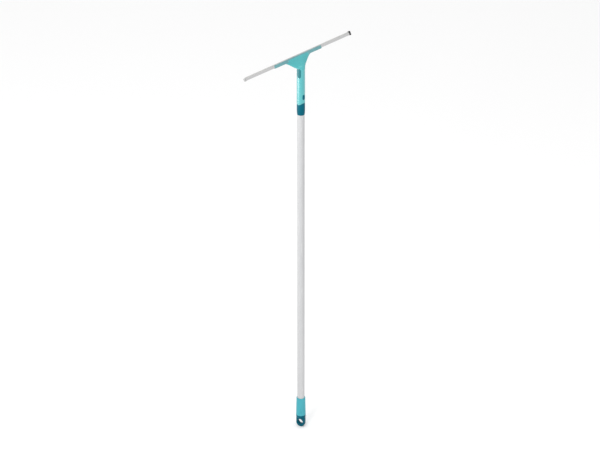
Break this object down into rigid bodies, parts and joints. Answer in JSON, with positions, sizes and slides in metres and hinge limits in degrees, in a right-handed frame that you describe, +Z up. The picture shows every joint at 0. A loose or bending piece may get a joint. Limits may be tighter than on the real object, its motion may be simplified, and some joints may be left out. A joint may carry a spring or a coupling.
{
  "type": "window cleaning squeegee",
  "caption": "Window cleaning squeegee with a wide metal rail and rubber lip on a leaning plastic head that clicks onto a long round pole with a grip sleeve and hanging loop",
  "frame": {"origin": "centre of the hanging hole in the end cap", "axes": "+Z runs up the pole to the head, +X runs along the rail towards the pull tab, -Y is the button's side; the head leans towards +Y"},
  "size_m": [0.4122, 0.0377, 1.2932],
  "materials": {
    "turquoise_plastic": "satin moulded plastic",
    "sleeve_plastic": "satin moulded plastic",
    "dark_teal_plastic": "satin moulded plastic",
    "holder_plastic": "fine moulded texture",
    "inlay_plastic": "satin moulded plastic",
    "coated_tube": "satin silver coating on a drawn steel tube",
    "rail_aluminium": "extruded, fine lengthwise lines",
    "lip_rubber": "smooth grey rubber",
    "black_plastic": "moulded plastic",
    "grey_plastic": "moulded plastic",
    "screw_steel": "zinc plated",
    "spring_steel": "drawn wire"
  },
  "bodies": {
    "pole_and_head": {"hang_cap": "dark_teal_plastic", "grip_sleeve": "sleeve_plastic", "pole_tube": "coated_tube", "pole_adapter": "dark_teal_plastic", "button_spring": "spring_steel", "spring_plug": "dark_teal_plastic", "head_body": "turquoise_plastic", "neck_inlay": "inlay_plastic", "rail_holder": "holder_plastic", "web_screws": "screw_steel", "rail_screws": "screw_steel", "pole_screws": "screw_steel", "rail": "rail_aluminium", "rail_end_stop": "grey_plastic"},
    "button": {"click_button": "dark_teal_plastic"},
    "lip": {"rubber_lip": "lip_rubber", "lip_pull_tab": "black_plastic"}
  },
  "joints": [
    {"name": "button_press", "type": "slide", "parent": "pole_and_head", "child": "button", "axis": [0, 1, 0], "range_m": [0, 0.0043], "stiffness_N_per_m": 600, "springref_m": -0.002, "deforming": ["button_spring"]},
    {"name": "lip_slide", "type": "slide", "parent": "pole_and_head", "child": "lip", "axis": [1, 0, 0], "range_m": [0, 0.39]}
  ]
}
